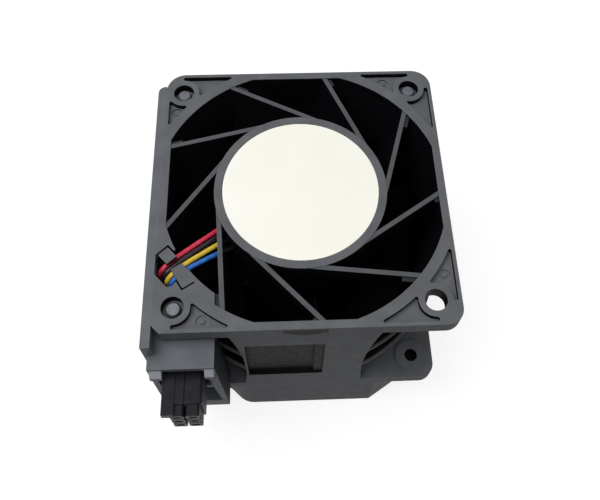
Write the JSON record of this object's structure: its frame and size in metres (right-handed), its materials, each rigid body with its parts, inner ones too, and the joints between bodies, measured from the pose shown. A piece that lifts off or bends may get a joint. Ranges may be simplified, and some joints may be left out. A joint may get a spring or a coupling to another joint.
{
  "type": "server fan module",
  "caption": "Square hot-plug axial fan for a server: bladed rotor in a two-part duct with guide vanes, side cable cover and a rectangular plug.",
  "frame": {"origin": "on the rotor's axis, in the plane of the inlet face", "axes": "+Z along the airflow, from the inlet to the exhaust; -Y towards the plug's mating side; +X to the right seen from the exhaust with the plug at the bottom"},
  "size_m": [0.0606, 0.073, 0.056],
  "materials": {
    "housing_plastic": "fine matt moulded surface, dark grey",
    "cover_plastic": "fine matt moulded surface, dark grey",
    "impeller_plastic": "satin moulded black",
    "plug_plastic": "satin moulded black",
    "label_paper": "blank off-white matt label film",
    "contact_tin": "tinned contact metal",
    "pin_steel": "dull zinc",
    "bearing_steel": "ground and polished",
    "yoke_steel": "drawn steel",
    "spring_steel": "wire",
    "brass": "turned",
    "magnet": "bonded ferrite",
    "lamination_steel": "stacked sheet",
    "copper_enamel": "enamelled copper winding",
    "insulator_nylon": "natural moulded nylon",
    "board_green": "solder mask",
    "chip_black": "moulded package",
    "capacitor_can": "drawn can",
    "cage_nylon": "moulded cage",
    "wire_red": "insulation",
    "wire_black": "insulation",
    "wire_yellow": "insulation",
    "wire_blue": "insulation"
  },
  "bodies": {
    "housing": {"outlet_housing": "housing_plastic", "inlet_housing": "housing_plastic", "hub_label": "label_paper", "tie_pins": "pin_steel", "cable_cover": "cover_plastic", "plug_housing": "plug_plastic", "plug_contacts": "contact_tin", "wire_red": "wire_red", "wire_black": "wire_black", "wire_yellow": "wire_yellow", "wire_blue": "wire_blue", "bearing_tube": "brass", "stator_core": "lamination_steel", "stator_insulator_lower": "insulator_nylon", "stator_insulator_upper": "insulator_nylon", "stator_coils": "copper_enamel", "circuit_board": "board_green", "hall_sensor": "chip_black", "driver_chip": "chip_black", "power_transistors": "chip_black", "capacitors": "capacitor_can", "chip_resistors": "chip_black", "inlet_bearing_outer_ring": "bearing_steel", "inlet_bearing_shields": "yoke_steel", "exhaust_bearing_outer_ring": "bearing_steel", "exhaust_bearing_shields": "yoke_steel"},
    "rotor": {"impeller": "impeller_plastic", "rotor_yoke": "yoke_steel", "rotor_magnet": "magnet", "shaft": "bearing_steel", "shaft_bush": "brass", "retaining_clip": "spring_steel", "preload_spring": "spring_steel", "inlet_bearing_inner_ring": "bearing_steel", "exhaust_bearing_inner_ring": "bearing_steel"},
    "ball_sets": {"inlet_bearing_balls": "bearing_steel", "inlet_bearing_cage": "cage_nylon", "exhaust_bearing_balls": "bearing_steel", "exhaust_bearing_cage": "cage_nylon"}
  },
  "joints": [
    {"name": "rotor_spin", "type": "hinge", "parent": "housing", "child": "rotor", "pos_m": [0, 0, 0.03], "axis": [0, 0, 1], "continuous": true},
    {"name": "ball_orbit", "type": "hinge", "parent": "housing", "child": "ball_sets", "pos_m": [0, 0, 0.03], "axis": [0, 0, 1], "continuous": true}
  ],
  "couplings": [
    {"joint": "ball_orbit", "follows": "rotor_spin", "ratio": 0.3716}
  ]
}
